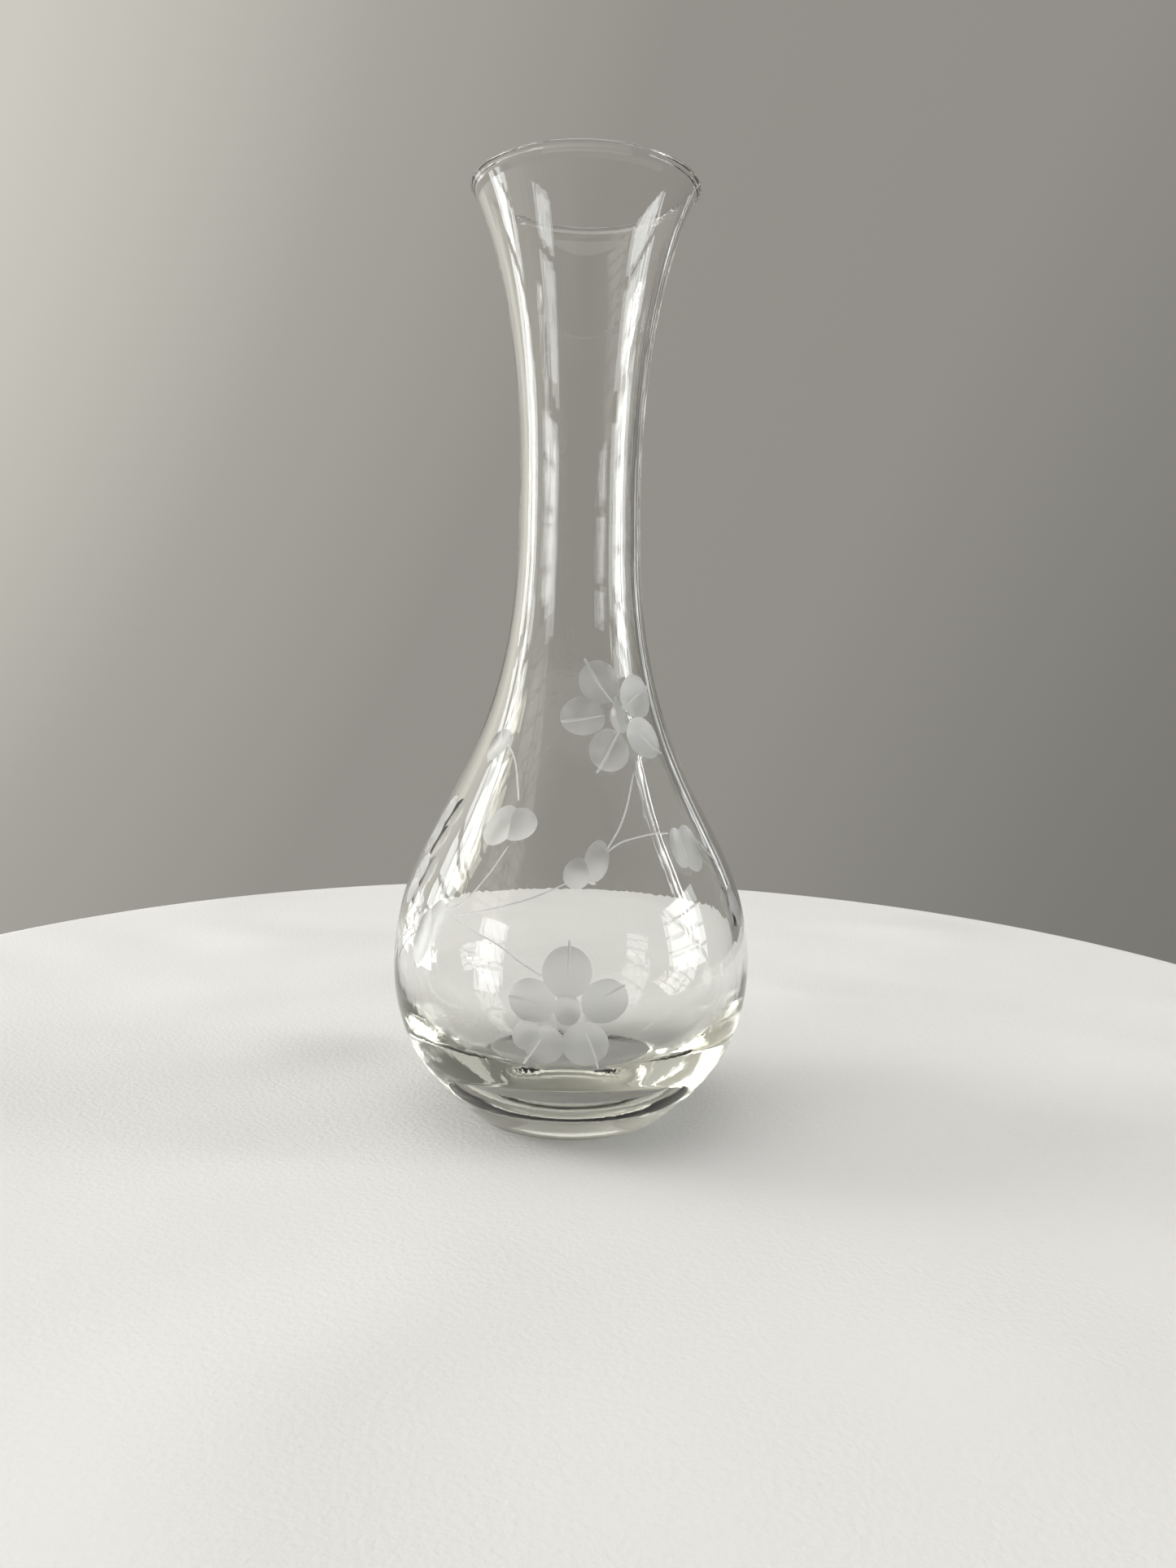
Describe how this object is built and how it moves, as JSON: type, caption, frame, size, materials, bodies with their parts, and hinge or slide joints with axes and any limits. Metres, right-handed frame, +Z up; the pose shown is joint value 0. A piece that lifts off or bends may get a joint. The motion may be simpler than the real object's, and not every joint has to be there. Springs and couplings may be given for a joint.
{
  "type": "glass bud vase",
  "caption": "Clear glass bud vase with a heavy foot, round bulb, slim neck and flared rim, cut with matt flowers and leaves.",
  "frame": {"origin": "centre of the foot's flat underside", "axes": "+Z up along the vase's axis, -Y towards the cut flowers"},
  "size_m": [0.079, 0.0788, 0.2],
  "materials": {
    "clear_glass": "clear, fire polished",
    "ground_glass": "matt, wheel ground"
  },
  "bodies": {
    "root": {"glass_body": "clear_glass", "upper_flower_cut": "ground_glass", "lower_flower_cut": "ground_glass", "centre_leaf_cut": "ground_glass", "right_leaf_cut": "ground_glass", "right_edge_leaf_cut": "ground_glass", "left_small_leaf_cut": "ground_glass", "left_heart_leaf_cut": "ground_glass", "left_low_leaf_cut": "ground_glass", "left_edge_leaf_cut": "ground_glass", "left_far_leaf_cut": "ground_glass"}
  },
  "joints": []
}
